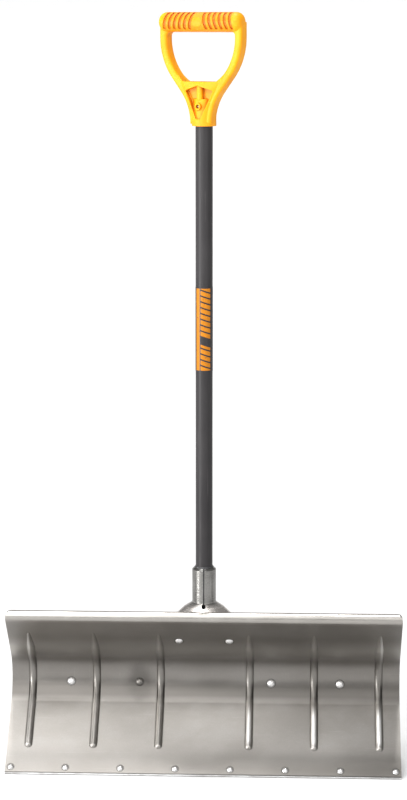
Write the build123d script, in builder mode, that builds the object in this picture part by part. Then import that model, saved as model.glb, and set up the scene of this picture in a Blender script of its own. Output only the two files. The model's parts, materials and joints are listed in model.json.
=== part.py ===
"""Push-type snow shovel: rolled aluminium blade, steel wear strip, pressed socket, tube shaft, D-grip.

Frame: +Z runs up the shaft, +X to the right, -Y is the front, where the snow goes.
Origin: the middle of the wear strip's underside, the face that slides on the ground.
"""

import os
from math import cos, degrees, radians, sin

from build123d import *

os.makedirs("parts", exist_ok=True)

# ---------------------------------------------------------------- driving dimensions, mm

# Blade: one aluminium sheet, seen in section as lip, throat, roof and rolled top edge.
BLADE_WIDTH = 610.0
SHEET = 1.6
LIP_ANGLE = 42.3  # the lip's slope, from +Y towards +Z
LIP_LENGTH = 128.0  # from the wear strip's cutting edge to the throat
THROAT_RADIUS = 55.0
THROAT_TURN = 90.0
ROOF_LENGTH = 94.0
ROLL_RADIUS = 8.2
ROLL_TURN = 300.0
CORNER_RADIUS = 10.0

# Ribs pressed forwards out of the blade, three each side of the middle.
RIB_FIRST = 70.0
RIB_PITCH = 101.0
RIB_WIDTH = 13.0
RIB_HEIGHT = 4.2
RIB_FOOT = 51.0  # distances along the sheet, from the cutting edge
RIB_FADE = 236.0
RIB_TOP = 274.0
RIB_TOP_WIDTH = 6.0
RIB_TOP_HEIGHT = 0.5
RIB_HOLLOW = 0.5  # the cut behind a rib reaches this far past the sheet's back

# Wear strip, riveted under the lip.
STRIP_WIDTH = 22.0
STRIP_THICKNESS = 2.0
STRIP_OVERHANG = 2.6
STRIP_RIVETS = 8
STRIP_RIVET_PITCH = 84.7

# Brace across the back of the throat.
BRACE_LENGTH = 470.0
BRACE_THICKNESS = 2.5
BRACE_ARC = 24.0  # degrees of the throat that it covers
BRACE_END_ROUND = 8.0
BRACE_ROW = 161.0
BRACE_RIVETS = (103.5, 211.5)

# Shaft tube, closed by a plug at each end.
SHAFT_Y = 57.0
SHAFT_RADIUS = 13.0
SHAFT_WALL = 1.4
SHAFT_BOTTOM = 246.0
SHAFT_TOP = 1020.0
PLUG_DEPTH = 22.0
PLUG_LIP = 2.0

# Pressed socket: a tube with an open seam, shoulders that sit on the rolled edge, and a riveted flange.
SOCKET_RADIUS = 18.4
SOCKET_WALL = 2.0
SOCKET_RIM = 308.0
RIM_BEVEL = 3.0  # the rim is turned in over the bush
RIM_HOLE = SHAFT_RADIUS + 1.4
FOOT_LEVELS = (  # height, Y of the middle, half width, half depth
    (253.0, SHAFT_Y, SOCKET_RADIUS, SOCKET_RADIUS),
    (246.5, 53.5, 31.0, 21.0),
    (237.0, 50.0, 42.0, 24.5),
    (182.0, 63.0, 24.0, 18.0),
)
ROLL_CLEARANCE = 0.2
FLANGE_WIDTH = 104.0
FLANGE_START = 228.0  # distances along the sheet
FLANGE_END = 297.0
FLANGE_ROUND = 12.0
FLANGE_ROW = 254.5
FLANGE_RIVET = 39.0
TONGUE_WIDTH = 34.0
TONGUE_LAP = 1.0  # how far the tongue runs into the flange
TONGUE_STEP = 5.0
TONGUE_RIVET = 9.0
SEAM_WIDTH = 2.0
SEAM_BOTTOM = 249.5
SEAM_HOLE = 3.2
SOCKET_RIVET_HEIGHT = 287.0
BUSH_LIP = 2.0
BUSH_EDGE = 0.8

# D-grip, turned about the shaft.
GRIP_TWIST = 30.0
GRIP_HALF_WIDTH = 71.5
COLLAR_RADIUS = 18.3
COLLAR_BOTTOM = 982.5
ARM_RADIUS = 95.0  # outer arc of the arms
ARM_TURN = 38.0
ARM_WIDTH = 12.0
ARM_BACK = -7.0  # depths are forwards of the shaft axis
ARM_FRONT = 13.0
ARM_ROUND = 4.5
ARC_HEIGHT = 1112.6
NECK_RADIUS = 76.0
OPENING_BOTTOM = 1048.2
OPENING_TOP = 1120.6
OPENING_ROUND = 6.0
BAR_HEIGHT = 1135.0
BAR_RADIUS = 14.7
BAR_FORWARD = 6.5
BAR_ROUND = 11.0
YOKE_LEVELS = (  # height, forward shift, half width, half depth
    (COLLAR_BOTTOM + 4, 0.0, COLLAR_RADIUS, COLLAR_RADIUS),
    (1004.0, 0.6, 19.6, 18.6),
    (1020.0, 1.8, 25.4, 18.2),
    (1034.0, 3.0, 33.6, 17.0),
    (1063.0, 3.0, 53.0, 9.5),
)
POCKET_FLOOR = 8.0
POCKET_CORNERS = ((-3.5, 993.0), (3.5, 993.0), (24.0, 1035.0), (0.0, 1042.5), (-24.0, 1035.0))
POCKET_ROUND = 2.0
POCKET_TUBE = 15.4  # radius of the wall left round the shaft
RIB_RADIUS = 5.0
RIB_FORWARD = 11.5
SCREW_HEIGHT = 1011.6
BOSS_RADIUS = 5.2
BOSS_FORWARD = 19.0
SCREW_RADIUS = 2.0
SCREW_HEAD = 3.0
SCREW_HEAD_HEIGHT = 1.6
SCREW_SLOT = 0.9
SCREW_SEAT = 16.0
SCREW_REACH = 3.0
GRIP_ROOF = 2.5  # thickness over the shaft's top end
GROOVES = 6
GROOVE_FIRST = 14.6
GROOVE_PITCH = 8.9
GROOVE_WIDTH = 4.4
GROOVE_SLANT = 12.0
GROOVE_DEPTH = 2.2
GROOVE_BELOW = 10.5
BADGE_WIDTH = 17.0
BADGE_HEIGHT = 15.0
BADGE_RISE = 0.8

# Rivets: shank diameter, head diameter, head height.
SMALL_RIVET = (5.0, 9.6, 2.4)
LARGE_RIVET = (6.0, 12.6, 3.0)
BLIND_RIVET = (4.8, 8.4, 1.6)
BLIND_SLACK = 0.8  # the blind rivet's tail stands this far off the shaft's curved wall
RIVET_TAIL = 0.8  # the flattened tail's width as a part of the head's
TAIL_TAPER = 0.9
TAIL_HEIGHT = 1.6
DRILL_REACH = 9.0

# Printed band on the shaft.
LABEL_BOTTOM = 614.0
LABEL_TOP = 741.5
LABEL_THICKNESS = 0.25


# ---------------------------------------------------------------- the blade's section

SHEET_MIDDLE = STRIP_THICKNESS + SHEET / 2
UP_LIP = Vector(cos(radians(LIP_ANGLE)), sin(radians(LIP_ANGLE)))
FRONT_OF_LIP = Vector(-sin(radians(LIP_ANGLE)), cos(radians(LIP_ANGLE)))


def on_lip(distance, height):
    """Section point at a distance from the cutting edge and a height above the strip's underside."""
    return UP_LIP * (distance - STRIP_WIDTH / 2) + FRONT_OF_LIP * height


# The sheet's middle line, drawn flat with Y to the right and Z upwards.
with BuildLine() as sheet_line:
    lip = Line(on_lip(STRIP_OVERHANG, SHEET_MIDDLE), on_lip(LIP_LENGTH, SHEET_MIDDLE))
    throat = JernArc(lip @ 1, UP_LIP, THROAT_RADIUS, THROAT_TURN)
    roof = PolarLine(throat @ 1, ROOF_LENGTH, direction=throat % 1)
    roll = JernArc(roof @ 1, throat % 1, ROLL_RADIUS, -ROLL_TURN)


def in_frame(point, across=0.0):
    """A point or direction of the section, in the object's frame."""
    return Plane.YZ.from_local_coords(point) + Vector(across, 0, 0)


UP_ROOF = in_frame(throat % 1)
BACK_OF_ROOF = UP_ROOF.cross(Vector(1, 0, 0))
ROLL_CENTRE = in_frame(roof @ 1) + BACK_OF_ROOF * ROLL_RADIUS
THROAT_AXIS = Axis(in_frame(on_lip(LIP_LENGTH, SHEET_MIDDLE + THROAT_RADIUS)), (1, 0, 0))
ROOF_START = LIP_LENGTH + throat.length


def across_sheet(distance):
    """Plane square to the sheet: X across the blade, Y towards the back, Z up the sheet."""
    wire = sheet_line.wire()
    travelled = distance - STRIP_OVERHANG
    origin = in_frame(wire.position_at(travelled, position_mode=PositionMode.LENGTH))
    along = in_frame(wire.tangent_at(travelled, position_mode=PositionMode.LENGTH))
    return Plane(origin=origin, x_dir=(1, 0, 0), z_dir=along)


def facing_sheet(distance, across=0.0, height=0.0):
    """Plane lying along the sheet, Z towards the front; height is measured from the sheet's middle."""
    square = across_sheet(distance)
    front = square.y_dir * -1
    origin = square.origin + front * height + Vector(across, 0, 0)
    return Plane(origin=origin, x_dir=(1, 0, 0), z_dir=front)


def mirrored(distances):
    """Each distance on both sides of the middle."""
    return [side * distance for distance in distances for side in (-1, 1)]


def save(builder, name):
    """Label a finished part and write its STEP file."""
    builder.part.label = name
    export_step(builder.part, f"parts/{name}.step")


# ---------------------------------------------------------------- fasteners


def rivet(front, clamped, size, tail_height):
    """Solid rivet: round head standing on the front plane, shank through the clamped sheets, flat tail."""
    shank, head, height = (size[0] / 2, size[1] / 2, size[2])
    dome = (head ** 2 + height ** 2) / (2 * height)
    tail = head * RIVET_TAIL
    end = -clamped - tail_height
    tail_points = [(tail * TAIL_TAPER, end), (tail, -clamped)] if tail_height else [(shank, end)]
    shank_points = [(shank, -clamped)] if tail_height else []
    upright = Plane(origin=front.origin, x_dir=front.x_dir, z_dir=-front.y_dir)
    with BuildPart() as whole:
        with BuildSketch(upright):
            with BuildLine():
                Polyline((0, height), (0, end), *tail_points, *shank_points, (shank, 0), (head, 0))
                RadiusArc((head, 0), (0, height), -dome)
            make_face()
        revolve(axis=Axis(front.origin, front.z_dir))
    return whole.part


def row_of_rivets(places, clamped, size, tail_height):
    """Separate rivets at (distance along the sheet, distance across) on the blade's front."""
    return [rivet(facing_sheet(distance, across, SHEET / 2), clamped, size, tail_height)
            for distance, across in places]


STRIP_ROW = [(STRIP_WIDTH / 2, STRIP_RIVET_PITCH * (i - (STRIP_RIVETS - 1) / 2)) for i in range(STRIP_RIVETS)]
BRACE_PLACES = [(BRACE_ROW, x) for x in mirrored(BRACE_RIVETS)]
FLANGE_PLACES = [(FLANGE_ROW, x) for x in mirrored([FLANGE_RIVET])]


def drills(places, size):
    """Pins to cut rivet holes square through the blade and what lies behind it, with a seat for each head."""
    shank, head, height = size
    with BuildPart() as pins:
        for distance, across in places:
            with BuildSketch(facing_sheet(distance, across, SHEET / 2)):
                Circle(shank / 2)
            extrude(amount=-DRILL_REACH)
            with BuildSketch(facing_sheet(distance, across, SHEET / 2)):
                Circle(head / 2)
            extrude(amount=height)
    return pins.part


# ---------------------------------------------------------------- blade


def bead(plane, width, height, inset, base, side=Align.CENTER):
    """Round-topped outline of a rib, square to the sheet; base is its flat side behind the sheet's middle."""
    bow = (width ** 2 / 4 + height ** 2) / (2 * height)
    with BuildSketch(plane) as outline:
        with Locations((0, bow - height)):
            Circle(bow - inset)
        with Locations((0, base)):
            Rectangle(3 * width, 3 * width, align=(side, Align.MAX), mode=Mode.INTERSECT)
    return outline.sketch


def rib(inset, base):
    """One rib: a round foot, a run up the lip and round the throat, and a fading end on the roof."""
    full = (RIB_WIDTH, RIB_HEIGHT + SHEET / 2, inset, base)
    faded = (RIB_TOP_WIDTH, RIB_TOP_HEIGHT + SHEET / 2, inset, base)
    foot = across_sheet(RIB_FOOT)
    with BuildPart() as whole:
        extrude(bead(foot, *full), amount=LIP_LENGTH - RIB_FOOT)
        revolve(bead(across_sheet(LIP_LENGTH), *full), axis=THROAT_AXIS, revolution_arc=THROAT_TURN)
        extrude(bead(across_sheet(ROOF_START), *full), amount=RIB_FADE - ROOF_START)
        loft([bead(across_sheet(RIB_FADE), *full), bead(across_sheet(RIB_TOP), *faded)])
        revolve(bead(foot, *full, side=Align.MIN), axis=Axis(foot.origin, foot.y_dir))
    return whole.part


RIB_PLACES = [(x, 0, 0) for x in mirrored(RIB_FIRST + RIB_PITCH * i for i in range(3))]

with BuildPart() as blade:
    with BuildSketch(Plane.YZ):
        trace(sheet_line.line, line_width=SHEET)
    extrude(amount=BLADE_WIDTH / 2, both=True)
    # The top corners are rounded off, seen from the front.
    with BuildSketch(Plane.XZ.offset(-ROLL_CENTRE.Y - 2 * ROLL_RADIUS)):
        with Locations((0, ROLL_CENTRE.Z + ROLL_RADIUS + SHEET / 2)):
            Rectangle(2 * BLADE_WIDTH, 2 * CORNER_RADIUS, align=(Align.CENTER, Align.CENTER))
            RectangleRounded(BLADE_WIDTH, BLADE_WIDTH, CORNER_RADIUS, align=(Align.CENTER, Align.MAX),
                             mode=Mode.SUBTRACT)
    extrude(amount=4 * ROLL_RADIUS, mode=Mode.SUBTRACT)
    with Locations(*RIB_PLACES):
        add(rib(inset=0.0, base=0.0))
    with Locations(*RIB_PLACES):
        add(rib(inset=SHEET, base=SHEET / 2 + RIB_HOLLOW), mode=Mode.SUBTRACT)
    add(drills(STRIP_ROW, SMALL_RIVET), mode=Mode.SUBTRACT)
    add(drills(BRACE_PLACES + FLANGE_PLACES, LARGE_RIVET), mode=Mode.SUBTRACT)
save(blade, "blade")

# ---------------------------------------------------------------- wear strip

with BuildPart() as wear_strip:
    with BuildSketch(Plane.YZ):
        with BuildLine():
            Polyline(on_lip(0, 0), on_lip(STRIP_WIDTH, 0), on_lip(STRIP_WIDTH, STRIP_THICKNESS),
                     on_lip(0, STRIP_THICKNESS), close=True)
        make_face()
    extrude(amount=BLADE_WIDTH / 2, both=True)
    add(drills(STRIP_ROW, SMALL_RIVET), mode=Mode.SUBTRACT)
save(wear_strip, "wear_strip")

with BuildPart() as wear_strip_rivets:
    add(row_of_rivets(STRIP_ROW, SHEET + STRIP_THICKNESS, SMALL_RIVET, 0.0))
save(wear_strip_rivets, "wear_strip_rivets")

# ---------------------------------------------------------------- back brace


def behind_sheet(distance, width, gap, thickness):
    """Section of a strip that lies on the blade's back, square to the sheet."""
    with BuildSketch(across_sheet(distance)) as strip:
        with Locations((0, SHEET / 2 + gap)):
            Rectangle(width, thickness, align=(Align.CENTER, Align.MIN))
    return strip.sketch


def throat_angle(length):
    """Degrees of the throat that a length of sheet covers."""
    return degrees(length / THROAT_RADIUS)


BRACE_START = BRACE_ROW - THROAT_RADIUS * radians(BRACE_ARC) / 2
STEP_START = BRACE_START + THROAT_RADIUS * radians(BRACE_ARC)
STEP_END = STEP_START + TONGUE_STEP
TONGUE_PLACES = [(BRACE_ROW, x) for x in mirrored([TONGUE_RIVET])]

with BuildPart() as back_brace:
    revolve(behind_sheet(BRACE_START, BRACE_LENGTH, 0, BRACE_THICKNESS), axis=THROAT_AXIS,
            revolution_arc=BRACE_ARC)
    corners = back_brace.edges().filter_by(GeomType.LINE).filter_by(Axis.X, reverse=True)
    fillet(corners, radius=BRACE_END_ROUND)
    add(drills(BRACE_PLACES, LARGE_RIVET), mode=Mode.SUBTRACT)
    add(drills(TONGUE_PLACES, SMALL_RIVET), mode=Mode.SUBTRACT)
save(back_brace, "back_brace")

with BuildPart() as brace_rivets:
    add(row_of_rivets(BRACE_PLACES, SHEET + BRACE_THICKNESS, LARGE_RIVET, TAIL_HEIGHT))
save(brace_rivets, "brace_rivets")

# ---------------------------------------------------------------- socket


SHAFT_AXIS = Axis((0, SHAFT_Y, 0), (0, 0, 1))
SHAFT_BORE = SHAFT_RADIUS - SHAFT_WALL
SOCKET_BORE = SOCKET_RADIUS - SOCKET_WALL
BUSH_BOTTOM = FOOT_LEVELS[0][0]
BACK_OF_SOCKET = Plane(origin=(0, SHAFT_Y + SOCKET_RADIUS, SOCKET_RIVET_HEIGHT), x_dir=(-1, 0, 0),
                       z_dir=(0, 1, 0))
BLIND_CLAMPED = SOCKET_RADIUS - SHAFT_BORE + BLIND_SLACK
GRIP_FRONT = Vector(-sin(radians(GRIP_TWIST)), -cos(radians(GRIP_TWIST)), 0)
GRIP_RIGHT = Vector(cos(radians(GRIP_TWIST)), -sin(radians(GRIP_TWIST)), 0)
SCREW_PLANE = Plane(origin=Vector(0, SHAFT_Y, SCREW_HEIGHT) + GRIP_FRONT * SCREW_SEAT, x_dir=GRIP_RIGHT,
                    z_dir=GRIP_FRONT)


def level(height):
    """Level plane round the shaft's axis."""
    return Plane(origin=(0, SHAFT_Y, height), x_dir=(1, 0, 0), z_dir=(0, 0, 1))


def back_hole():
    """Pin to cut the rivet hole in the back of the socket, the bush and the shaft."""
    with BuildPart() as pin:
        with BuildSketch(BACK_OF_SOCKET):
            Circle(BLIND_RIVET[0] / 2)
        extrude(amount=-SOCKET_RADIUS)
    return pin.part


def screw_hole():
    """Pin to cut the grip screw's hole, from its head's seat into the shaft's plug."""
    with BuildPart() as pin:
        with BuildSketch(SCREW_PLANE):
            Circle(SCREW_RADIUS)
        extrude(amount=SCREW_REACH - SCREW_SEAT)
    return pin.part


def foot(inset):
    """Solid outline of the socket's tube and foot, drawn in by inset."""
    with BuildPart() as whole:
        with BuildSketch(level(FOOT_LEVELS[0][0])):
            Circle(SOCKET_RADIUS - inset)
        extrude(amount=SOCKET_RIM - inset - FOOT_LEVELS[0][0])
        for upper, lower in zip(FOOT_LEVELS, FOOT_LEVELS[1:]):
            for height, middle, half_width, half_depth in (upper, lower):
                with BuildSketch(level(height)):
                    with Locations((0, middle - SHAFT_Y)):
                        Ellipse(half_width - inset, half_depth - inset)
            loft()
    return whole.part


with BuildPart() as socket:
    add(foot(0.0))
    chamfer(socket.faces().sort_by(Axis.Z)[-1].edges(), length=RIM_BEVEL)
    add(foot(SOCKET_WALL), mode=Mode.SUBTRACT)
    with BuildSketch(level(SOCKET_RIM)):
        Circle(RIM_HOLE)
    extrude(amount=-2 * SOCKET_WALL, mode=Mode.SUBTRACT)
    # The foot is trimmed to the roof's back and to the rolled edge.
    with BuildSketch(facing_sheet(FLANGE_ROW, 0, -SHEET / 2)):
        Rectangle(2 * FLANGE_WIDTH, 4 * FLANGE_WIDTH)
    extrude(amount=FLANGE_WIDTH, mode=Mode.SUBTRACT)
    with BuildSketch(Plane.YZ):
        with Locations(Plane.YZ.to_local_coords(ROLL_CENTRE)):
            Circle(ROLL_RADIUS + SHEET / 2 + ROLL_CLEARANCE)
    extrude(amount=FLANGE_WIDTH, both=True, mode=Mode.SUBTRACT)
    # Flange on the roof, and a tongue down to the brace that steps over it.
    with BuildSketch(facing_sheet((FLANGE_START + FLANGE_END) / 2, 0, -SHEET / 2)):
        RectangleRounded(FLANGE_WIDTH, FLANGE_END - FLANGE_START, FLANGE_ROUND)
    extrude(amount=-SOCKET_WALL)
    extrude(behind_sheet(ROOF_START, TONGUE_WIDTH, 0, SOCKET_WALL), amount=FLANGE_START + TONGUE_LAP - ROOF_START)
    revolve(behind_sheet(STEP_END, TONGUE_WIDTH, 0, SOCKET_WALL), axis=THROAT_AXIS,
            revolution_arc=throat_angle(ROOF_START - STEP_END))
    revolve(behind_sheet(STEP_START, TONGUE_WIDTH, 0, SOCKET_WALL + BRACE_THICKNESS), axis=THROAT_AXIS,
            revolution_arc=throat_angle(TONGUE_STEP))
    revolve(behind_sheet(BRACE_START, TONGUE_WIDTH, BRACE_THICKNESS, SOCKET_WALL), axis=THROAT_AXIS,
            revolution_arc=BRACE_ARC)
    # The tube's seam, down to a round relief hole.
    with BuildSketch(Plane.XZ.offset(-SHAFT_Y)):
        with Locations((0, SEAM_BOTTOM)):
            Circle(SEAM_HOLE)
            Rectangle(SEAM_WIDTH, SOCKET_RIM, align=(Align.CENTER, Align.MIN))
    extrude(amount=FLANGE_WIDTH, mode=Mode.SUBTRACT)
    add(back_hole(), mode=Mode.SUBTRACT)
    add(drills(FLANGE_PLACES, LARGE_RIVET), mode=Mode.SUBTRACT)
    add(drills(TONGUE_PLACES, SMALL_RIVET), mode=Mode.SUBTRACT)
save(socket, "socket")

with BuildPart() as socket_rivets:
    add(row_of_rivets(FLANGE_PLACES, SHEET + SOCKET_WALL, LARGE_RIVET, TAIL_HEIGHT))
save(socket_rivets, "socket_rivets")

with BuildPart() as tongue_rivets:
    for distance, across in TONGUE_PLACES:
        seat = facing_sheet(distance, across, -SHEET / 2 - BRACE_THICKNESS - SOCKET_WALL)
        outwards = Plane(origin=seat.origin, x_dir=seat.x_dir, z_dir=-seat.z_dir)
        add(rivet(outwards, BRACE_THICKNESS + SOCKET_WALL, SMALL_RIVET, 0.0))
save(tongue_rivets, "tongue_rivets")

with BuildPart() as socket_back_rivet:
    add(rivet(BACK_OF_SOCKET, BLIND_CLAMPED, BLIND_RIVET, TAIL_HEIGHT))
save(socket_back_rivet, "socket_back_rivet")

# ---------------------------------------------------------------- bush and shaft

with BuildPart() as socket_bush:
    with BuildSketch(Plane.XZ.offset(-SHAFT_Y)):
        with BuildLine():
            Polyline((SHAFT_RADIUS, BUSH_BOTTOM), (SOCKET_BORE, BUSH_BOTTOM),
                     (SOCKET_BORE, SOCKET_RIM - SOCKET_WALL), (RIM_HOLE, SOCKET_RIM - SOCKET_WALL),
                     (RIM_HOLE, SOCKET_RIM + BUSH_EDGE),
                     (SHAFT_RADIUS + BUSH_EDGE, SOCKET_RIM + BUSH_LIP),
                     (SHAFT_RADIUS, SOCKET_RIM + BUSH_LIP), close=True)
        make_face()
    revolve(axis=SHAFT_AXIS)
    add(back_hole(), mode=Mode.SUBTRACT)
save(socket_bush, "socket_bush")

with BuildPart() as shaft:
    with BuildSketch(level(SHAFT_BOTTOM)):
        Circle(SHAFT_RADIUS)
        Circle(SHAFT_BORE, mode=Mode.SUBTRACT)
    extrude(amount=SHAFT_TOP - SHAFT_BOTTOM)
    add(back_hole(), mode=Mode.SUBTRACT)
    add(screw_hole(), mode=Mode.SUBTRACT)
save(shaft, "shaft")

with BuildPart() as shaft_lower_plug:
    with BuildSketch(level(SHAFT_BOTTOM)):
        Circle(SHAFT_BORE)
    extrude(amount=PLUG_DEPTH)
    with BuildSketch(level(SHAFT_BOTTOM)):
        Circle(SHAFT_RADIUS)
    extrude(amount=-PLUG_LIP)
    fillet(shaft_lower_plug.faces().sort_by(Axis.Z)[0].edges(), radius=PLUG_LIP / 2)
save(shaft_lower_plug, "shaft_lower_plug")

with BuildPart() as shaft_upper_plug:
    with BuildSketch(level(SHAFT_TOP)):
        Circle(SHAFT_BORE)
    extrude(amount=-PLUG_DEPTH)
    add(screw_hole(), mode=Mode.SUBTRACT)
save(shaft_upper_plug, "shaft_upper_plug")

with BuildPart() as shaft_label:
    with BuildSketch(level(LABEL_BOTTOM)):
        Circle(SHAFT_RADIUS + LABEL_THICKNESS)
        Circle(SHAFT_RADIUS, mode=Mode.SUBTRACT)
    extrude(amount=LABEL_TOP - LABEL_BOTTOM)
save(shaft_label, "shaft_label")

# ---------------------------------------------------------------- grip


def grip_plane(forward):
    """Upright plane facing the grip's own front: X to the grip's right, Y upwards, from the shaft's axis."""
    origin = Vector(0, SHAFT_Y, 0) + GRIP_FRONT * forward
    return Plane(origin=origin, x_dir=GRIP_RIGHT, z_dir=GRIP_FRONT)


def grip_level(height):
    """Level plane turned with the grip: Y runs backwards."""
    return Plane(origin=(0, SHAFT_Y, height), x_dir=GRIP_RIGHT, z_dir=(0, 0, 1))


BAR_CENTRE = Vector(0, SHAFT_Y, BAR_HEIGHT) + GRIP_FRONT * BAR_FORWARD
BAR_AXIS = Axis(BAR_CENTRE, GRIP_RIGHT)
ARC_CENTRE = GRIP_HALF_WIDTH - ARM_RADIUS


def bar_cylinder(radius, length):
    """A round bar on the hand bar's axis."""
    with BuildPart() as bar:
        with BuildSketch(Plane(origin=BAR_CENTRE, x_dir=(0, 0, 1), z_dir=GRIP_RIGHT)):
            Circle(radius)
        extrude(amount=length / 2, both=True)
    return bar.part


with BuildSketch(grip_plane(0)) as arm_outline:
    with BuildLine():
        arm = JernArc((GRIP_HALF_WIDTH, ARC_HEIGHT), (0, -1), ARM_RADIUS, -ARM_TURN)
        neck_top = COLLAR_RADIUS + NECK_RADIUS * (1 - cos(radians(ARM_TURN)))
        slope = PolarLine(arm @ 1, ((arm @ 1).X - neck_top) / sin(radians(ARM_TURN)), direction=arm % 1)
        neck = JernArc(slope @ 1, slope % 1, NECK_RADIUS, ARM_TURN)
        Line(neck @ 1, (0, (neck @ 1).Y))
        Line((0, (neck @ 1).Y), (0, BAR_HEIGHT))
        Line((0, BAR_HEIGHT), (GRIP_HALF_WIDTH, BAR_HEIGHT))
        Line((GRIP_HALF_WIDTH, BAR_HEIGHT), arm @ 0)
    make_face()
    mirror(about=Plane.YZ)

with BuildSketch(grip_plane(0)) as opening_outline:
    for side in (-1, 1):
        with Locations((side * ARC_CENTRE, ARC_HEIGHT)):
            Circle(ARM_RADIUS - ARM_WIDTH, mode=Mode.INTERSECT if side > 0 else Mode.ADD)
    with Locations((0, OPENING_BOTTOM)):
        Rectangle(2 * GRIP_HALF_WIDTH, OPENING_TOP - OPENING_BOTTOM, align=(Align.CENTER, Align.MIN),
                  mode=Mode.INTERSECT)
    fillet(opening_outline.vertices(), radius=OPENING_ROUND)

with BuildPart() as hand_bar:
    with BuildSketch(Plane(origin=BAR_CENTRE, x_dir=GRIP_RIGHT, z_dir=GRIP_FRONT)):
        RectangleRounded(2 * GRIP_HALF_WIDTH, 2 * BAR_RADIUS, BAR_ROUND)
        Rectangle(2 * GRIP_HALF_WIDTH, BAR_RADIUS, align=(Align.CENTER, Align.MAX), mode=Mode.SUBTRACT)
    revolve(axis=BAR_AXIS)

with BuildPart() as yoke:
    for height, forward, half_width, half_depth in YOKE_LEVELS:
        with BuildSketch(grip_level(height)):
            with Locations((0, -forward)):
                Ellipse(half_width, half_depth)
    loft()
    with BuildSketch(grip_level(COLLAR_BOTTOM)):
        Circle(COLLAR_RADIUS)
    extrude(amount=YOKE_LEVELS[0][0] - COLLAR_BOTTOM)

with BuildPart() as grooves:
    for side in (-1, 1):
        places = [(side * (GROOVE_FIRST + GROOVE_PITCH * i), BAR_HEIGHT - GROOVE_BELOW) for i in range(GROOVES)]
        with BuildSketch(grip_plane(BAR_FORWARD)):
            with Locations(*places):
                Rectangle(GROOVE_WIDTH, 2 * BAR_RADIUS, rotation=side * GROOVE_SLANT,
                          align=(Align.CENTER, Align.MIN))
        extrude(amount=2 * BAR_RADIUS)
    add(bar_cylinder(BAR_RADIUS - GROOVE_DEPTH, 2 * GRIP_HALF_WIDTH), mode=Mode.SUBTRACT)

with BuildPart() as badge:
    with BuildSketch(grip_plane(BAR_FORWARD)):
        with Locations((0, BAR_HEIGHT)):
            Ellipse(BADGE_WIDTH / 2, BADGE_HEIGHT / 2)
    extrude(amount=2 * BAR_RADIUS)
    add(bar_cylinder(BAR_RADIUS + BADGE_RISE, 2 * BADGE_WIDTH), mode=Mode.INTERSECT)

with BuildPart() as pocket:
    with BuildSketch(grip_plane(POCKET_FLOOR)) as pocket_outline:
        Polygon(*POCKET_CORNERS, align=None)
        fillet(pocket_outline.vertices(), radius=POCKET_ROUND)
    extrude(amount=2 * COLLAR_RADIUS)
    with BuildSketch(grip_level(COLLAR_BOTTOM)):
        Circle(POCKET_TUBE)
    extrude(amount=SHAFT_TOP + GRIP_ROOF - COLLAR_BOTTOM, mode=Mode.SUBTRACT)

with BuildPart() as pocket_rib:
    with BuildSketch(grip_level(SHAFT_TOP)):
        with Locations((0, -RIB_FORWARD)):
            Circle(RIB_RADIUS)
    extrude(amount=OPENING_BOTTOM - SHAFT_TOP)
    fillet(pocket_rib.faces().sort_by(Axis.Z)[0].edges(), radius=RIB_RADIUS / 2)

with BuildPart() as grip:
    # Arms: a flat plate with rounded edges.
    extrude(arm_outline.sketch, amount=ARM_FRONT, dir=GRIP_FRONT)
    extrude(arm_outline.sketch, amount=ARM_BACK, dir=GRIP_FRONT)
    extrude(opening_outline.sketch, amount=GRIP_HALF_WIDTH, both=True, mode=Mode.SUBTRACT)
    flat_faces = grip.faces().filter_by(Axis(BAR_CENTRE, GRIP_FRONT))
    fillet(flat_faces.edges(), radius=ARM_ROUND)
    # The yoke below the opening and the hand bar above it.
    add(yoke.part)
    extrude(opening_outline.sketch, amount=GRIP_HALF_WIDTH, both=True, mode=Mode.SUBTRACT)
    add(hand_bar.part)
    add(badge.part)
    add(grooves.part, mode=Mode.SUBTRACT)
    # Pocket in the yoke's front, with a rib, and a boss for the screw.
    add(pocket.part, mode=Mode.SUBTRACT)
    add(pocket_rib.part)
    with BuildSketch(grip_plane(POCKET_FLOOR)):
        with Locations((0, SCREW_HEIGHT)):
            Circle(BOSS_RADIUS)
    extrude(amount=BOSS_FORWARD - POCKET_FLOOR)
    # Bore for the shaft, and the screw's hole and seat.
    with BuildSketch(grip_level(COLLAR_BOTTOM)):
        Circle(SHAFT_RADIUS)
    extrude(amount=SHAFT_TOP - COLLAR_BOTTOM, mode=Mode.SUBTRACT)
    add(screw_hole(), mode=Mode.SUBTRACT)
    with BuildSketch(SCREW_PLANE):
        Circle(SCREW_HEAD)
    extrude(amount=BOSS_FORWARD, mode=Mode.SUBTRACT)
save(grip, "grip")

with BuildPart() as grip_screw:
    add(rivet(SCREW_PLANE, SCREW_SEAT - SCREW_REACH, (2 * SCREW_RADIUS, 2 * SCREW_HEAD, SCREW_HEAD_HEIGHT), 0.0))
    with BuildSketch(SCREW_PLANE.offset(SCREW_HEAD_HEIGHT / 2)):
        for angle in (0, 90):
            Rectangle(SCREW_HEAD, SCREW_SLOT, rotation=angle)
    extrude(amount=SCREW_HEAD_HEIGHT, mode=Mode.SUBTRACT)
save(grip_screw, "grip_screw")
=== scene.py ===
import json
import math

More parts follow.
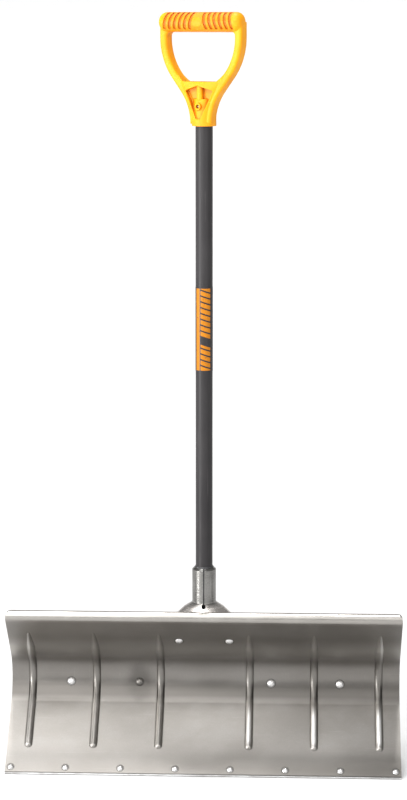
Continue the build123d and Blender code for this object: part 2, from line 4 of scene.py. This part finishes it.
import bmesh
import bpy
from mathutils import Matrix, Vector


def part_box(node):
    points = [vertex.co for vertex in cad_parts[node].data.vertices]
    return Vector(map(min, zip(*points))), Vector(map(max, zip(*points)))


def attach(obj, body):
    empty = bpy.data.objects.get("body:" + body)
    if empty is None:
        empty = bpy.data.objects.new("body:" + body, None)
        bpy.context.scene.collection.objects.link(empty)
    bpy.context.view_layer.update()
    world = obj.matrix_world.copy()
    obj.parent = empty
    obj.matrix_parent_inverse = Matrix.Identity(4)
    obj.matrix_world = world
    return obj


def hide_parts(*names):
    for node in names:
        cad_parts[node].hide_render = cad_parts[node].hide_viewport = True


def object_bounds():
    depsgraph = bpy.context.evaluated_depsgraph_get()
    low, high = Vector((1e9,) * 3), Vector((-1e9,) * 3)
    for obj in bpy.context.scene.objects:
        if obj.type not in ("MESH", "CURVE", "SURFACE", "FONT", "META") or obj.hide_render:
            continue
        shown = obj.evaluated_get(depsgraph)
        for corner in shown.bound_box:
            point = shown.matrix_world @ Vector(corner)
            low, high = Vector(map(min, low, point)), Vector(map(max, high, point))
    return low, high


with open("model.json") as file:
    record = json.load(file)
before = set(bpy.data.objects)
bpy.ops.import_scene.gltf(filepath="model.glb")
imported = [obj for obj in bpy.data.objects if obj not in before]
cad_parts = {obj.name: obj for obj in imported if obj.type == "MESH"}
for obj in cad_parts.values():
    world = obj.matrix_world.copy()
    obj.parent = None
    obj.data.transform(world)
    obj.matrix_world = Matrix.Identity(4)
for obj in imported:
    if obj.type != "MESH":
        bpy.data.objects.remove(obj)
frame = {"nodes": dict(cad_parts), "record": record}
cad_low, cad_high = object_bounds()
NODES = frame["nodes"]

# ---------------------------------------------------------------- sizes, metres and degrees

CAMERA_LENS = 100.0
CAMERA_SENSOR = 36.0
CAMERA_AZIMUTH = 2.4
CAMERA_ELEVATION = 9.7
CAMERA_DISTANCE = 3.38
CAMERA_DROP = 0.0028  # the aim is this far under the middle of the shovel
CAMERA_ASIDE = -0.001  # and here across it, a little to the left

FLOOR_RADIUS = 18.0
FLOOR_SPAN = 4 * FLOOR_RADIUS
WALL_HEIGHT = 10.0
SWEEP_RADIUS = 9.0
SWEEP_STEPS = 12

LIGHT_POOL = (-0.4, -1.0, 0.0)  # the panels light the floor most here, so its paint is darker
POOL_REACH = (1.2, 4.5)  # the paint turns from grey to pale between these distances

WORLD_STRENGTH = 0.30
SUN_STRENGTH = 2.6
SUN_SPREAD = 8
SUN_DIRECTION = (0.0, -0.11, -1.0)
PANELS = (  # name, place, what it is aimed at, width and height, watts
    ("left_panel", (-0.66, -1.45, 1.60), (-0.10, 0.0, 0.05), (1.3, 2.6), 56),
    ("right_panel", (0.95, -1.50, 1.15), (0.1, 0.0, 0.10), (1.4, 1.7), 16),
    ("rib_panel", (-2.0, -0.35, 1.30), (0.25, 0.0, 0.06), (0.9, 0.7), 20),
    ("strip_panel", (-1.9, -1.25, 0.50), (0.0, 0.0, 0.30), (0.45, 1.0), 42),
    ("top_panel", (-0.25, 0.25, 1.80), (-0.15, 0.10, 0.25), (0.9, 0.5), 3.5),
)

WAVE_DEPTH = 0.006  # depths of the bumps: slow waves in the sheet, rolling grain and scratches
ROLLING_DEPTH = 0.000018
SHEET_SCRATCH_DEPTH = 0.000006
STEEL_GRAIN_DEPTH = 0.00005
SOCKET_GRAIN_DEPTH = 0.00022
SCRATCH_DEPTH = 0.00003
SPECKLE_DEPTH = 0.00008
MOULD_GRAIN_DEPTH = 0.00006
GRIP_GRAIN_DEPTH = 0.00007
PEEL_DEPTH = 0.00006

GRIP_VOXEL = 0.0006  # the grip's softening
GRIP_SMOOTHING = 2
MERGE_DISTANCE = 1e-6
BAR_RADIUS = 0.0147
BAR_HALF = 0.060
BAR_FADE = 0.004  # the painted shade on the bar fades over this far either side of its ends
BAR_SKIN = 0.0015  # and over this far outside its radius
GROOVE_FLOOR = 0.0021  # the painted shade in the grooves is full this far under the bar's radius
GROOVE_LIP = 0.0003  # and begins this far under it
HOLLOW_REACH = 0.012

SOCKET_FOOT = (0.246, 0.256)  # the pressed foot ends and the tube begins between these heights

SMALL_HEAD = 0.0048
LARGE_HEAD = 0.0063
HEAD_HALO = (0.0002, 0.0022)  # painted shadow round a rivet's head fades between these distances

THROAT_SHADE_LOW = (0.078, 0.092)  # heights over which painted shade in the blade's throat sets in
THROAT_SHADE_HIGH = (0.103, 0.115)  # it thins out here
THROAT_SHADE_END = (0.145, 0.160)  # and ends here
HIGHLIGHT_BAND_LOW = (0.146, 0.164)  # a painted highlight band above it sets in
HIGHLIGHT_BAND_END = (0.166, 0.198)  # and ends here, where a thinner painted shade sets in
LIP_SHADE_END = (0.222, 0.232)  # the painted shade ends here, and the painted highlight on the roll at the top begins
EDGE_SHADE_HEIGHTS = (0.0, 0.035)  # painted shade at the cutting edge fades between these heights
FOOT_ACROSS = (-0.08, 0.20)  # and grows from left to right across these places

RIB_FIRST = 0.070  # the blade's ribs: the first one's place and the step to the next
RIB_PITCH = 0.101
RIB_CREST = (0.0018, 0.0046)  # the painted highlight on a crest fades between these distances from a rib's middle
CREST_ACROSS = (0.0, 0.12)  # it grows from left to right across these places
CREST_FOOT = (0.030, 0.040)  # and lies between these two ramps in height
CREST_TOP = (0.062, 0.082)
RIB_FLANK = (0.0040, 0.0062)  # painted shade sets in at a rib's flank
RIB_FOOT = (0.0062, 0.0080)  # and ends beside it
FLANK_FOOT = (0.030, 0.036)  # between these two ramps in height
FLANK_TOP = (0.080, 0.120)

COAT_SPECULAR = 0.2  # the shaft's coat is duller than bare plastic

BAR_PITCH = 0.0088  # the printed bars: the step from one to the next
BAR_SHARE = 0.76  # how much of a step is inked
BAR_SLANT = 0.35
BARS_ACROSS = (-0.0050, 0.0096)
STRIPE_ACROSS = (-0.0112, -0.0064)
PRINT_GAP = (4.5 * BAR_PITCH, 5.9 * BAR_PITCH)  # one bar is left out here
PRINT_END = 0.0015  # bare coat at either end of the band
PRINT_EDGE = 0.0003

# ---------------------------------------------------------------- colours, linear red, green and blue

ALUMINIUM_DARK = (0.265, 0.250, 0.232)
ALUMINIUM_LIGHT = (0.315, 0.300, 0.282)
RIVET_LIGHT = (0.62, 0.61, 0.60)
RIVET_DARK = (0.44, 0.435, 0.43)
STRIP_LIGHT = (0.46, 0.46, 0.46)
STRIP_DARK = (0.28, 0.275, 0.27)
BRACE_LIGHT = (0.62, 0.62, 0.61)
BRACE_DARK = (0.45, 0.45, 0.44)
TUBE_LIGHT = (0.24, 0.235, 0.225)
TUBE_DARK = (0.18, 0.176, 0.168)
# paler colour of the pressed foot: a painted highlight on its upward faces
FOOT_PAINTED_HIGHLIGHT = (0.66, 0.62, 0.585)
SCREW_LIGHT = (0.30, 0.19, 0.10)
SCREW_DARK = (0.20, 0.12, 0.06)
BLACK_LIGHT = (0.030, 0.030, 0.032)
BLACK_DARK = (0.018, 0.018, 0.019)
COAT_DARK = (0.018, 0.0165, 0.0175)
COAT_LIGHT = (0.027, 0.025, 0.026)
GRIP_YELLOW = (0.70, 0.290, 0.001)
GRIP_ORANGE = (0.66, 0.245, 0.001)
INK_LIGHT = (0.44, 0.155, 0.003)
INK_DARK = (0.33, 0.110, 0.002)
FLOOR_PALE = ((0.96, 0.96, 0.96), (0.93, 0.93, 0.93))
FLOOR_GREY = ((0.56, 0.56, 0.56), (0.54, 0.54, 0.54))

# Each layer over a base is a colour, and the share of it where the layer is thickest.
OXIDE = (0.19, 0.18, 0.165), 0.30
BLADE_SCRATCH = (0.50, 0.49, 0.47), 0.16
# painted shade in the blade's throat
THROAT_PAINTED_SHADE = (0.070, 0.065, 0.059), 0.88
# painted highlight: a lighter band across the blade above the throat
PAINTED_HIGHLIGHT_BAND = (0.60, 0.575, 0.54), 0.40
# painted shade on the upper blade under the roll
LIP_PAINTED_SHADE = (0.100, 0.094, 0.086), 0.42
# painted highlight on the rolled top edge
ROLL_PAINTED_HIGHLIGHT = (0.55, 0.525, 0.49), 0.2
# painted shade along the cutting edge, stronger to the right
EDGE_PAINTED_SHADE = (0.10, 0.094, 0.086), 1.0
EDGE_SHARES = (0.45, 0.95)  # how much of that painted shade lies at the left and at the right
# painted highlight on the rib crests, stronger to the right
CREST_PAINTED_HIGHLIGHT = (0.97, 0.96, 0.94), 0.9
# painted shade beside the ribs
FLANK_PAINTED_SHADE = (0.10, 0.094, 0.086), 0.35
# painted shadow round the rivet heads
HEAD_PAINTED_SHADOW = (0.04, 0.038, 0.035), 0.75
# a dark blotch painted over the second rivet of the middle row and the sheet round it
BLOTCH_DARK = (0.060, 0.056, 0.051), 0.62
# the same dark blotch on that rivet's head
RIVET_BLOTCH_DARK = (0.11, 0.103, 0.094), 0.97
STEEL_SCRATCH = (0.9, 0.9, 0.9), 0.3
COAT_SCRATCH = (0.14, 0.13, 0.13), 0.3
BAR_SHADE = (0.60, 0.180, 0.002), 0.85
GROOVE_SHADE = (0.34, 0.085, 0.002), 0.9
HOLLOW_SHADE = (0.42, 0.095, 0.001), 0.85
GRIP_SCUFF = (0.82, 0.46, 0.10), 0.25

# ---------------------------------------------------------------- places read from the frame


def middle(node):
    low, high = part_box(node)
    return (low + high) / 2


def rivet_centres(node):
    """Middle of each rivet in a row that runs across the blade, from left to right."""
    points = sorted((vertex.co.copy() for vertex in NODES[node].data.vertices), key=lambda co: co.x)
    groups = [[points[0]]]
    for point in points[1:]:
        if point.x - groups[-1][-1].x > SMALL_HEAD:
            groups.append([])
        groups[-1].append(point)
    centres = []
    for group in groups:
        low = Vector([min(co[axis] for co in group) for axis in range(3)])
        high = Vector([max(co[axis] for co in group) for axis in range(3)])
        centres.append((low + high) / 2)
    return centres


SHAFT_MIDDLE = middle("shaft")
HAND_BAR = next(mount for mount in frame["record"]["mounts"] if mount["name"] == "hand_bar")
BAR_PLACE, BAR_AXIS = tuple(HAND_BAR["pos_m"]), tuple(HAND_BAR["axis"])
LABEL_LOW, LABEL_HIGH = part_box("shaft_label")

# ---------------------------------------------------------------- camera

aim = Vector((CAMERA_ASIDE, SHAFT_MIDDLE.y, (cad_low.z + cad_high.z) / 2 - CAMERA_DROP))
azimuth, elevation = math.radians(CAMERA_AZIMUTH), math.radians(CAMERA_ELEVATION)
back = Vector((math.sin(azimuth) * math.cos(elevation), -math.cos(azimuth) * math.cos(elevation),
               math.sin(elevation)))
camera = bpy.data.objects.new("camera", bpy.data.cameras.new("camera"))
camera.data.lens = CAMERA_LENS
camera.data.sensor_width = CAMERA_SENSOR
camera.location = aim + back * CAMERA_DISTANCE
camera.rotation_euler = (-back).to_track_quat("-Z", "Y").to_euler()
bpy.context.scene.collection.objects.link(camera)
bpy.context.scene.camera = camera
bpy.context.scene.view_settings.view_transform = "Standard"


# ---------------------------------------------------------------- material kit


class Finish:
    """A Principled material, built node by node. Coordinates are the row frame, in metres."""

    def __init__(self, name, **sockets):
        self.material = bpy.data.materials.new(name)
        self.material.use_nodes = True
        self.tree = self.material.node_tree
        self.surface = self.tree.nodes["Principled BSDF"]
        for socket, value in sockets.items():
            self.surface.inputs[socket.replace("_", " ")].default_value = value
        self.place = self.node("ShaderNodeTexCoord").outputs["Object"]

    def node(self, kind, **settings):
        made = self.tree.nodes.new(kind)
        for name, value in settings.items():
            setattr(made, name, value)
        return made

    def feed(self, socket, value):
        """Links an output to a socket, or sets the socket to a plain value."""
        if isinstance(value, bpy.types.NodeSocket):
            self.tree.links.new(value, socket)
        else:
            socket.default_value = value

    def set(self, **sockets):
        for name, value in sockets.items():
            self.feed(self.surface.inputs[name.replace("_", " ")], value)

    def math(self, operation, *values):
        made = self.node("ShaderNodeMath", operation=operation)
        for socket, value in zip(made.inputs, values):
            self.feed(socket, value)
        return made.outputs[0]

    def product(self, first, *others):
        for other in others:
            first = self.math("MULTIPLY", first, other)
        return first

    def vector(self, operation, *values, output=0):
        made = self.node("ShaderNodeVectorMath", operation=operation)
        for socket, value in zip(made.inputs, values):
            self.feed(socket, value)
        return made.outputs[output]

    def axes(self):
        made = self.node("ShaderNodeSeparateXYZ")
        self.feed(made.inputs[0], self.place)
        return made.outputs

    def noise(self, scale, stretch=(1, 1, 1), detail=3.0, roughness=0.55):
        made = self.node("ShaderNodeTexNoise")
        self.feed(made.inputs["Vector"], self.vector("MULTIPLY", self.place, stretch))
        for name, value in (("Scale", scale), ("Detail", detail), ("Roughness", roughness)):
            made.inputs[name].default_value = value
        return made.outputs["Fac"]

    def remap(self, value, low, high, to_low=0.0, to_high=1.0):
        """Runs smoothly from to_low, at low and under it, to to_high, at high and over it."""
        made = self.node("ShaderNodeMapRange", interpolation_type="SMOOTHSTEP")
        for socket, item in zip(made.inputs, (value, low, high, to_low, to_high)):
            self.feed(socket, item)
        return made.outputs[0]

    def fade(self, value, low, high):
        return self.remap(value, low, high, 1.0, 0.0)

    def band(self, value, rise, fall):
        """1 between two ramps, and 0 outside them."""
        return self.product(self.remap(value, *rise), self.fade(value, *fall))

    def blend(self, amount, first, second):
        made = self.node("ShaderNodeMix", data_type="RGBA")
        self.feed(made.inputs[0], amount)
        self.feed(made.inputs[6], (*first, 1) if isinstance(first, tuple) else first)
        self.feed(made.inputs[7], (*second, 1) if isinstance(second, tuple) else second)
        return made.outputs[2]

    def cover(self, base, mask, layer):
        """A base colour under a layer, which lies where the mask is 1."""
        colour, share = layer
        return self.blend(self.math("MULTIPLY", mask, share), base, colour)

    def bump(self, height, distance, under=None):
        made = self.node("ShaderNodeBump")
        made.inputs["Strength"].default_value = 1.0
        made.inputs["Distance"].default_value = distance
        self.feed(made.inputs["Height"], height)
        if under is not None:
            self.feed(made.inputs["Normal"], under)
        return made.outputs["Normal"]

    def scratches(self, along, across, low=0.66, high=0.72):
        """Thin lines: a noise stretched along one axis, of which only the crests count."""
        stretch = [across] * 3
        stretch[along] = across / 60
        return self.remap(self.noise(1.0, stretch, detail=2.0), low, high)

    def near(self, places, radii):
        """Distance from the nearest of some rivet heads' rims."""
        nearest = None
        for place, radius in zip(places, radii):
            distance = self.vector("DISTANCE", self.place, tuple(place), output=1)
            gap = self.math("SUBTRACT", distance, radius)
            nearest = gap if nearest is None else self.math("MINIMUM", nearest, gap)
        return nearest

    def on(self, *objects):
        for item in objects:
            item.data.materials.clear()
            item.data.materials.append(self.material)


# ---------------------------------------------------------------- materials

strip_rivets = rivet_centres("wear_strip_rivets")
brace_rivets = rivet_centres("brace_rivets")
socket_rivets = rivet_centres("socket_rivets")
HEADS = strip_rivets + brace_rivets + socket_rivets
RADII = [SMALL_HEAD] * len(strip_rivets) + [LARGE_HEAD] * (len(brace_rivets) + len(socket_rivets))
BLOTCH_PLACE = tuple(brace_rivets[1])
BLOTCH_SHAPE = (40.0, 32.0, 28.0)  # one over the blotch's half size along each axis


def dark_blotch(finish):
    """Where a dark blotch is painted over the second rivet of the middle row and the sheet round it, from 0
    to 1.
    """
    offset = finish.vector("SUBTRACT", finish.place, BLOTCH_PLACE)
    length = finish.vector("LENGTH", finish.vector("MULTIPLY", offset, BLOTCH_SHAPE), output=1)
    ragged = finish.math("MULTIPLY", finish.noise(60.0, detail=4.0), 0.5)
    return finish.fade(finish.math("ADD", length, ragged), 0.5, 1.45)


def blade_bands(made, colour):
    """Painted shade and painted highlights in bands that follow the blade's curve from its edge to its roll.
    """
    across, _, height = made.axes()
    thinning = made.math("ADD", made.remap(height, *THROAT_SHADE_HIGH, 0.5, 0.0),
                         made.remap(height, *THROAT_SHADE_END, 0.5, 0.0))
    # painted shade in the throat, thinning towards the top
    colour = made.cover(colour, made.product(made.remap(height, *THROAT_SHADE_LOW), thinning), THROAT_PAINTED_SHADE)
    # painted highlight band
    colour = made.cover(colour, made.band(height, HIGHLIGHT_BAND_LOW, HIGHLIGHT_BAND_END), PAINTED_HIGHLIGHT_BAND)
    # painted shade on the upper blade
    colour = made.cover(colour, made.band(height, HIGHLIGHT_BAND_END, LIP_SHADE_END), LIP_PAINTED_SHADE)
    # painted highlight on the roll
    colour = made.cover(colour, made.remap(height, *LIP_SHADE_END), ROLL_PAINTED_HIGHLIGHT)
    # painted shade along the cutting edge, stronger to the right
    foot = made.product(made.fade(height, *EDGE_SHADE_HEIGHTS), made.remap(across, *FOOT_ACROSS, *EDGE_SHARES))
    return made.cover(colour, foot, EDGE_PAINTED_SHADE)


def blade_ribs(made, colour):
    """Painted highlights on the crests and painted shade on the flanks of the ribs' lower ends."""
    across, _, height = made.axes()
    past_first = made.math("SUBTRACT", made.math("ABSOLUTE", across), RIB_FIRST)
    nearest = made.math("ROUND", made.math("DIVIDE", past_first, RIB_PITCH))
    from_rib = made.math("SUBTRACT", past_first, made.math("MULTIPLY", nearest, RIB_PITCH))
    from_rib = made.math("ABSOLUTE", from_rib)
    crest = made.product(made.fade(from_rib, *RIB_CREST), made.remap(across, *CREST_ACROSS),
                         made.band(height, CREST_FOOT, CREST_TOP))
    # painted highlight on the crests
    colour = made.cover(colour, crest, CREST_PAINTED_HIGHLIGHT)
    flank = made.product(made.band(from_rib, RIB_FLANK, RIB_FOOT), made.band(height, FLANK_FOOT, FLANK_TOP))
    # painted shade at the flanks
    return made.cover(colour, flank, FLANK_PAINTED_SHADE)


def blade_finish():
    """Mill-finished aluminium: rolling grain, scratches and blotches, with painted shade and painted
    highlights.
    """
    made = Finish("blade_aluminium", Metallic=0.95)
    grain = made.noise(1.0, (6, 700, 700), detail=4.0)
    blotches = made.noise(9.0, (1, 1.5, 1.5), detail=6.0, roughness=0.62)
    speckle = made.noise(420.0, detail=3.0)
    lines = made.math("MAXIMUM", made.scratches(2, 700), made.scratches(0, 500, 0.68, 0.75))
    colour = made.blend(made.remap(blotches, 0.35, 0.7), ALUMINIUM_DARK, ALUMINIUM_LIGHT)
    colour = made.cover(colour, speckle, OXIDE)
    colour = made.cover(colour, lines, BLADE_SCRATCH)
    colour = blade_ribs(made, blade_bands(made, colour))
    # painted shadow round the rivet heads
    colour = made.cover(colour, made.fade(made.near(HEADS, RADII), *HEAD_HALO), HEAD_PAINTED_SHADOW)
    # a dark blotch painted over the second rivet of the middle row
    colour = made.cover(colour, dark_blotch(made), BLOTCH_DARK)
    rough = made.remap(blotches, 0.3, 0.75, 0.31, 0.38)
    rough = made.math("ADD", rough, made.math("MULTIPLY", made.math("SUBTRACT", grain, 0.5), 0.07))
    waves = made.bump(made.noise(3.5, detail=1.0), WAVE_DEPTH)
    normal = made.bump(grain, ROLLING_DEPTH, under=waves)
    normal = made.bump(lines, SHEET_SCRATCH_DEPTH, under=normal)
    made.set(Base_Color=colour, Roughness=rough, Normal=normal)
    return made


def rivet_finish():
    """Bright aluminium with a fine speckle, and the dark blotch painted over one head."""
    made = Finish("rivet_aluminium", Metallic=0.85)
    speckle = made.noise(900.0, detail=4.0)
    colour = made.blend(speckle, RIVET_LIGHT, RIVET_DARK)
    # the same dark blotch on that rivet's head
    colour = made.cover(colour, made.remap(dark_blotch(made), 0.3, 0.7), RIVET_BLOTCH_DARK)
    made.set(Base_Color=colour, Roughness=made.remap(speckle, 0.3, 0.7, 0.22, 0.42),
             Normal=made.bump(speckle, SPECKLE_DEPTH))
    return made


def steel_finish(name, light, dark, rough, grain_axes, scale=600, depth=STEEL_GRAIN_DEPTH):
    """Plated steel with a fine grain drawn out along some axes, blotches and scratches."""
    made = Finish(name, Metallic=1.0)
    stretch = [scale / 80 if axis in grain_axes else scale for axis in range(3)]
    grain = made.noise(1.0, stretch, detail=4.0)
    blotches = made.noise(38.0, detail=5.0)
    lines = made.scratches(2, 600)
    colour = made.blend(made.remap(blotches, 0.32, 0.68), light, dark)
    colour = made.cover(colour, grain, (dark, 0.3))
    colour = made.cover(colour, lines, STEEL_SCRATCH)
    roughness = made.math("ADD", made.remap(blotches, 0.3, 0.7, rough - 0.06, rough + 0.06),
                          made.math("MULTIPLY", made.math("SUBTRACT", grain, 0.5), 0.2))
    normal = made.bump(grain, depth)
    made.set(Base_Color=colour, Roughness=roughness, Normal=made.bump(lines, SCRATCH_DEPTH, under=normal))
    return made


def plastic_finish(name, light, dark, rough):
    """Moulded polymer with a fine grain, faint flow blotches and scuffs."""
    made = Finish(name)
    grain = made.noise(1500.0, detail=2.0)
    blotches = made.noise(30.0, detail=4.0)
    scuffs = made.scratches(0, 420, 0.64, 0.74)
    colour = made.blend(made.remap(blotches, 0.3, 0.7), light, dark)
    colour = made.cover(colour, scuffs, (tuple(0.5 + part / 2 for part in light), 0.25))
    made.set(Base_Color=colour, Roughness=made.remap(blotches, 0.3, 0.7, rough - 0.05, rough + 0.07),
             Normal=made.bump(grain, MOULD_GRAIN_DEPTH))
    return made


def grip_finish():
    """Orange-yellow moulding with painted shade on the bar, in its grooves and in the hollows, and scuffs.
    """
    made = Finish("grip_polymer")
    grain = made.noise(1300.0, detail=3.0)
    blotches = made.noise(26.0, detail=5.0)
    scuffs = made.scratches(0, 380, 0.65, 0.75)
    hollow = made.node("ShaderNodeAmbientOcclusion", samples=8)
    hollow.inputs["Distance"].default_value = HOLLOW_REACH
    from_bar = made.vector("SUBTRACT", made.place, BAR_PLACE)
    radius = made.vector("LENGTH", made.vector("CROSS_PRODUCT", from_bar, BAR_AXIS), output=1)
    along = made.math("ABSOLUTE", made.vector("DOT_PRODUCT", from_bar, BAR_AXIS, output=1))
    bar = made.product(made.fade(radius, BAR_RADIUS, BAR_RADIUS + BAR_SKIN),
                       made.fade(along, BAR_HALF - BAR_FADE, BAR_HALF + BAR_FADE))
    groove = made.product(bar, made.fade(radius, BAR_RADIUS - GROOVE_FLOOR, BAR_RADIUS - GROOVE_LIP))
    colour = made.blend(made.remap(blotches, 0.3, 0.7), GRIP_YELLOW, GRIP_ORANGE)
    # painted shade on the bar, deeper in its grooves and in the hollows
    colour = made.cover(colour, bar, BAR_SHADE)
    colour = made.cover(colour, groove, GROOVE_SHADE)
    colour = made.cover(colour, made.fade(hollow.outputs["AO"], 0.3, 0.98), HOLLOW_SHADE)
    colour = made.cover(colour, scuffs, GRIP_SCUFF)
    made.set(Base_Color=colour, Roughness=made.remap(blotches, 0.3, 0.7, 0.40, 0.52),
             Normal=made.bump(grain, GRIP_GRAIN_DEPTH))
    made.set(Subsurface_Weight=0.05, Subsurface_Scale=0.003, Specular_IOR_Level=0.22)
    return made


def coating(made):
    """Colour, roughness and normal of the shaft's dark powder coat."""
    peel = made.noise(700.0, detail=2.0)
    blotches = made.noise(18.0, (1, 1, 0.4), detail=5.0)
    lines = made.scratches(2, 650, 0.67, 0.74)
    colour = made.blend(made.remap(blotches, 0.3, 0.7), COAT_DARK, COAT_LIGHT)
    colour = made.cover(colour, lines, COAT_SCRATCH)
    rough = made.remap(blotches, 0.3, 0.7, 0.36, 0.48)
    normal = made.bump(lines, SCRATCH_DEPTH, under=made.bump(peel, PEEL_DEPTH))
    return colour, rough, normal


def shaft_finish():
    """The plain coat."""
    made = Finish("shaft_powder_coat")
    colour, rough, normal = coating(made)
    made.set(Base_Color=colour, Roughness=rough, Normal=normal, Specular_IOR_Level=COAT_SPECULAR)
    return made


def label_finish():
    """The coat again, printed with an upright orange stripe and two groups of slanted bars beside it."""
    made = Finish("label_print")
    colour, rough, normal = coating(made)
    x, y, z = made.axes()

    def printed(value, limits):
        low, high = limits
        return made.band(value, (low - PRINT_EDGE, low + PRINT_EDGE), (high - PRINT_EDGE, high + PRINT_EDGE))

    height = made.math("SUBTRACT", z, LABEL_LOW.z)
    leaning = made.math("ADD", height, made.math("MULTIPLY", x, BAR_SLANT))
    along = made.math("MULTIPLY", made.math("FRACT", made.math("DIVIDE", leaning, BAR_PITCH)), BAR_PITCH)
    outside_gap = made.math("SUBTRACT", 1.0, printed(leaning, PRINT_GAP))
    bars = made.product(printed(along, (PRINT_EDGE, BAR_PITCH * BAR_SHARE)), printed(x, BARS_ACROSS),
                        outside_gap)
    ink = made.product(made.math("MAXIMUM", bars, printed(x, STRIPE_ACROSS)),
                       printed(height, (PRINT_END, LABEL_HIGH.z - LABEL_LOW.z - PRINT_END)),
                       made.math("LESS_THAN", y, SHAFT_MIDDLE.y),
                       made.remap(made.noise(260.0, detail=4.0), 0.62, 0.72, 1.0, 0.35))
    orange = made.blend(made.noise(90.0), INK_LIGHT, INK_DARK)
    made.set(Base_Color=made.blend(ink, colour, orange), Roughness=rough, Normal=normal,
             Specular_IOR_Level=COAT_SPECULAR)
    return made


def socket_finish():
    """Coarse-grained steel on the tube, and a paler colour on the pressed foot, a painted highlight on its
    upward faces.
    """
    made = steel_finish("socket_steel", TUBE_LIGHT, TUBE_DARK, 0.26, (0, 1), scale=900,
                        depth=SOCKET_GRAIN_DEPTH)
    tube_colour = made.surface.inputs["Base Color"].links[0].from_socket
    # painted highlight on the pressed foot
    foot = made.fade(made.axes()[2], *SOCKET_FOOT)
    made.set(Base_Color=made.blend(foot, tube_colour, FOOT_PAINTED_HIGHLIGHT))
    return made


RIVET_NODES = ("wear_strip_rivets", "brace_rivets", "socket_rivets", "tongue_rivets", "socket_back_rivet")
BLACK_NODES = ("socket_bush", "shaft_lower_plug", "shaft_upper_plug")

blade_finish().on(NODES["blade"])
rivet_finish().on(*(NODES[name] for name in RIVET_NODES))
steel_finish("strip_steel", STRIP_LIGHT, STRIP_DARK, 0.38, (0,)).on(NODES["wear_strip"])
steel_finish("brace_steel", BRACE_LIGHT, BRACE_DARK, 0.36, (0,)).on(NODES["back_brace"])
socket_finish().on(NODES["socket"])
steel_finish("screw_steel", SCREW_LIGHT, SCREW_DARK, 0.45, (0,)).on(NODES["grip_screw"])
plastic_finish("black_polymer", BLACK_LIGHT, BLACK_DARK, 0.45).on(*(NODES[name] for name in BLACK_NODES))
shaft_finish().on(NODES["shaft"])
label_finish().on(NODES["shaft_label"])

# ---------------------------------------------------------------- grip


def softened(node, name, voxel, smoothing):
    """A copy of a CAD solid with its edges and inner corners softened, as a moulding has them."""
    mesh = NODES[node].data.copy()
    working = bmesh.new()
    working.from_mesh(mesh)
    bmesh.ops.remove_doubles(working, verts=working.verts, dist=MERGE_DISTANCE)
    working.to_mesh(mesh)
    working.free()
    source = bpy.data.objects.new(name, mesh)
    bpy.context.scene.collection.objects.link(source)
    remesh = source.modifiers.new("remesh", "REMESH")
    remesh.mode = "VOXEL"
    remesh.voxel_size = voxel
    remesh.use_smooth_shade = True
    smooth = source.modifiers.new("smooth", "SMOOTH")
    smooth.factor = 0.5
    smooth.iterations = smoothing
    evaluated = source.evaluated_get(bpy.context.evaluated_depsgraph_get())
    done = bpy.data.meshes.new_from_object(evaluated)
    source.modifiers.clear()
    source.data = done
    return source


grip_body = softened("grip", "grip_body", GRIP_VOXEL, GRIP_SMOOTHING)
for polygon in grip_body.data.polygons:
    polygon.use_smooth = True
grip_finish().on(grip_body)
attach(grip_body, "root")
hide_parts("grip")

# ---------------------------------------------------------------- floor, world and lights


def place_light(light, place, direction):
    """Puts a light into the scene, shining in a direction."""
    holder = bpy.data.objects.new(light.name, light)
    holder.location = place
    holder.rotation_euler = direction.to_track_quat("-Z", "Y").to_euler()
    bpy.context.scene.collection.objects.link(holder)
    return holder


def soft_light(name, place, target, size, power):
    """An area light at a place, aimed at a target."""
    light = bpy.data.lights.new(name, "AREA")
    light.shape = "RECTANGLE"
    light.size, light.size_y = size
    light.energy = power
    place_light(light, place, Vector(target) - Vector(place)).visible_camera = False


def studio_floor():
    """A wide floor that sweeps up into a wall behind the shovel."""
    foot = FLOOR_RADIUS - SWEEP_RADIUS
    profile = [(-FLOOR_SPAN, 0.0), (0.0, 0.0), (foot, 0.0)]
    for step in range(1, SWEEP_STEPS + 1):
        turn = math.radians(90 * step / SWEEP_STEPS)
        profile.append((foot + SWEEP_RADIUS * math.sin(turn), SWEEP_RADIUS * (1 - math.cos(turn))))
    profile.append((FLOOR_RADIUS, WALL_HEIGHT))
    points = [(side * FLOOR_SPAN, y, cad_low.z + z) for y, z in profile for side in (-1, 1)]
    faces = [(i, i + 1, i + 3, i + 2) for i in range(0, len(points) - 2, 2)]
    mesh = bpy.data.meshes.new("floor")
    mesh.from_pydata(points, [], faces)
    for polygon in mesh.polygons:
        polygon.use_smooth = True
    made = bpy.data.objects.new("floor", mesh)
    bpy.context.scene.collection.objects.link(made)
    return made


def floor_paint():
    """White paint that is greyer where the panels light the floor most."""
    made = Finish("floor_paint", Roughness=0.9)
    from_pool = made.vector("DISTANCE", made.place, LIGHT_POOL, output=1)
    pale = made.blend(made.noise(3.0), *FLOOR_PALE)
    grey = made.blend(made.noise(3.0), *FLOOR_GREY)
    made.set(Base_Color=made.blend(made.fade(from_pool, *POOL_REACH), pale, grey))
    return made


floor = studio_floor()
floor_paint().on(floor)

world = bpy.data.worlds.new("studio")
bpy.context.scene.world = world
world.use_nodes = True
backdrop = world.node_tree.nodes["Background"]
backdrop.inputs["Color"].default_value = (1, 1, 1, 1)
backdrop.inputs["Strength"].default_value = WORLD_STRENGTH

sun = bpy.data.lights.new("key", "SUN")
sun.energy = SUN_STRENGTH
sun.angle = math.radians(SUN_SPREAD)
place_light(sun, (0.0, 0.0, 0.0), Vector(SUN_DIRECTION))
for panel in PANELS:
    soft_light(*panel)
